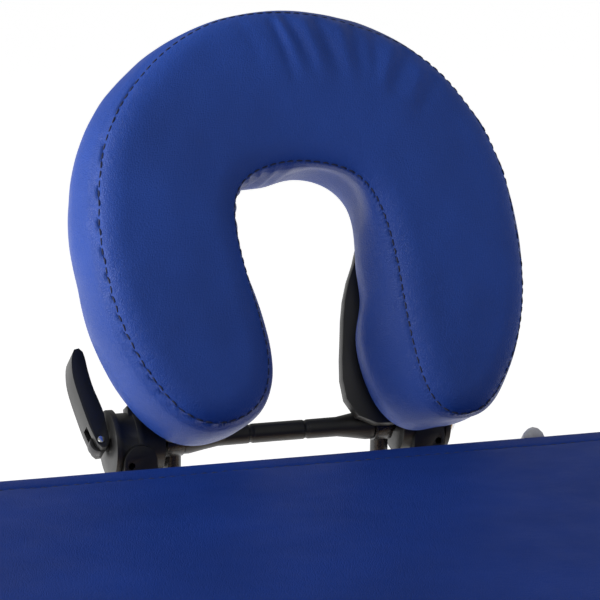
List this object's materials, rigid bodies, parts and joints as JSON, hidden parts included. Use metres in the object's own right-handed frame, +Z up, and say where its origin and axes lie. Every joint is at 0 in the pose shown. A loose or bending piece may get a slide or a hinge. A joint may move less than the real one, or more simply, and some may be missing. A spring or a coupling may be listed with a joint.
{
  "type": "portable massage table",
  "caption": "Folding massage table with blue padded top, wooden splayed legs and a tilting horseshoe face cradle on a clamped bar at the head end.",
  "frame": {"origin": "middle of the whole object's footprint, at floor level", "axes": "+Z up, +Y along the table toward the head end with the face cradle, +X to the right for someone looking from the foot end to the head end"},
  "size_m": [0.7064, 2.0676, 0.89],
  "materials": {
    "pu_blue": "satin",
    "beech": "satin",
    "plywood": "satin",
    "black_steel": "gloss",
    "black_plastic": "satin",
    "chrome": "polished",
    "steel": "satin",
    "rubber": "matte",
    "webbing": "matte",
    "hook_tape": "matte",
    "nylon": "satin"
  },
  "bodies": {
    "head_half": {"head_pad": "pu_blue", "head_deck": "plywood", "head_side_rail_left": "beech", "head_side_rail_right": "beech", "head_end_rail": "beech", "head_middle_rail": "beech", "head_leg_axle": "steel", "head_carry_strap": "webbing", "socket_block": "beech", "socket_bush_left": "nylon", "socket_bush_right": "nylon", "hinge_leaf_head": "chrome", "hinge_pin": "steel", "latch_base_left": "chrome", "latch_base_right": "chrome", "stay_cable_head_left": "steel", "stay_cable_head_right": "steel"},
    "foot_half": {"foot_pad": "pu_blue", "foot_deck": "plywood", "foot_side_rail_left": "beech", "foot_side_rail_right": "beech", "foot_end_rail": "beech", "foot_middle_rail": "beech", "foot_leg_axle": "steel", "foot_carry_strap": "webbing", "hinge_leaf_foot": "chrome", "latch_keeper_left": "chrome", "latch_keeper_right": "chrome", "stay_cable_foot_left": "steel", "stay_cable_foot_right": "steel"},
    "head_legs": {"upper_leg_head_left": "beech", "upper_leg_head_right": "beech", "head_stretcher": "beech"},
    "foot_legs": {"upper_leg_foot_left": "beech", "upper_leg_foot_right": "beech", "foot_stretcher": "beech"},
    "lower_leg_head_left": {"lower_leg_head_left": "beech", "rubber_foot_head_left": "rubber"},
    "knob_head_left": {"leg_knob_head_left": "black_plastic"},
    "lower_leg_head_right": {"lower_leg_head_right": "beech", "rubber_foot_head_right": "rubber"},
    "knob_head_right": {"leg_knob_head_right": "black_plastic"},
    "lower_leg_foot_left": {"lower_leg_foot_left": "beech", "rubber_foot_foot_left": "rubber"},
    "knob_foot_left": {"leg_knob_foot_left": "black_plastic"},
    "lower_leg_foot_right": {"lower_leg_foot_right": "beech", "rubber_foot_foot_right": "rubber"},
    "knob_foot_right": {"leg_knob_foot_right": "black_plastic"},
    "latch_left": {"latch_tongue_left": "chrome"},
    "latch_right": {"latch_tongue_right": "chrome"},
    "cradle_rods": {"support_rod_left": "black_steel", "support_rod_right": "black_steel", "crossbar": "black_plastic"},
    "face_cradle": {"cradle_plate": "black_plastic", "hook_tape": "hook_tape", "face_cushion": "pu_blue", "tension_rod": "steel", "tension_nut": "chrome", "cam_pin": "chrome"},
    "lever": {"cam_lever": "black_plastic"}
  },
  "joints": [
    {"name": "table_fold", "type": "hinge", "parent": "head_half", "child": "foot_half", "pos_m": [0.01315, -0.07568, 0.5137], "axis": [1, 0, 0], "range_deg": [0, 180], "deforming": ["stay_cable_head_left", "stay_cable_head_right", "stay_cable_foot_left", "stay_cable_foot_right"]},
    {"name": "head_leg_fold", "type": "hinge", "parent": "head_half", "child": "head_legs", "pos_m": [0.01315, 0.79432, 0.534], "axis": [1, 0, 0], "range_deg": [-97.5, 0]},
    {"name": "foot_leg_fold", "type": "hinge", "parent": "foot_half", "child": "foot_legs", "pos_m": [0.01315, -0.94568, 0.534], "axis": [1, 0, 0], "range_deg": [0, 97.5]},
    {"name": "leg_slide_head_left", "type": "slide", "parent": "head_legs", "child": "lower_leg_head_left", "axis": [0, 0.1219, -0.9925], "range_m": [0, 0.2]},
    {"name": "knob_turn_head_left", "type": "hinge", "parent": "head_legs", "child": "knob_head_left", "pos_m": [-0.24935, 0.82966, 0.24616], "axis": [-1, 0, 0], "range_deg": [-180, 180]},
    {"name": "leg_slide_head_right", "type": "slide", "parent": "head_legs", "child": "lower_leg_head_right", "axis": [0, 0.1219, -0.9925], "range_m": [0, 0.2]},
    {"name": "knob_turn_head_right", "type": "hinge", "parent": "head_legs", "child": "knob_head_right", "pos_m": [0.27565, 0.82966, 0.24616], "axis": [1, 0, 0], "range_deg": [-180, 180]},
    {"name": "leg_slide_foot_left", "type": "slide", "parent": "foot_legs", "child": "lower_leg_foot_left", "axis": [0, -0.1219, -0.9925], "range_m": [0, 0.2]},
    {"name": "knob_turn_foot_left", "type": "hinge", "parent": "foot_legs", "child": "knob_foot_left", "pos_m": [-0.19235, -0.98102, 0.24616], "axis": [-1, 0, 0], "range_deg": [-180, 180]},
    {"name": "leg_slide_foot_right", "type": "slide", "parent": "foot_legs", "child": "lower_leg_foot_right", "axis": [0, -0.1219, -0.9925], "range_m": [0, 0.2]},
    {"name": "knob_turn_foot_right", "type": "hinge", "parent": "foot_legs", "child": "knob_foot_right", "pos_m": [0.21865, -0.98102, 0.24616], "axis": [1, 0, 0], "range_deg": [-180, 180]},
    {"name": "latch_swing_left", "type": "hinge", "parent": "head_half", "child": "latch_left", "pos_m": [-0.25885, 0.85832, 0.542], "axis": [-1, 0, 0], "range_deg": [0, 180]},
    {"name": "latch_swing_right", "type": "hinge", "parent": "head_half", "child": "latch_right", "pos_m": [0.16615, 0.85832, 0.542], "axis": [-1, 0, 0], "range_deg": [0, 180]},
    {"name": "cradle_slide", "type": "slide", "parent": "head_half", "child": "cradle_rods", "axis": [0, 1, 0], "range_m": [0, 0.09]},
    {"name": "cradle_tilt", "type": "hinge", "parent": "cradle_rods", "child": "face_cradle", "pos_m": [0.01315, 0.92932, 0.6145], "axis": [1, 0, 0], "range_deg": [-90, 5]},
    {"name": "cam_lever_swing", "type": "hinge", "parent": "face_cradle", "child": "lever", "pos_m": [-0.11035, 0.92932, 0.6145], "axis": [0, -0.788, 0.6157], "range_deg": [0, 100]}
  ],
  "couplings": [
    {"joint": "head_leg_fold", "follows": "table_fold", "ratio": -0.53889},
    {"joint": "foot_leg_fold", "follows": "table_fold", "ratio": 0.53889}
  ]
}
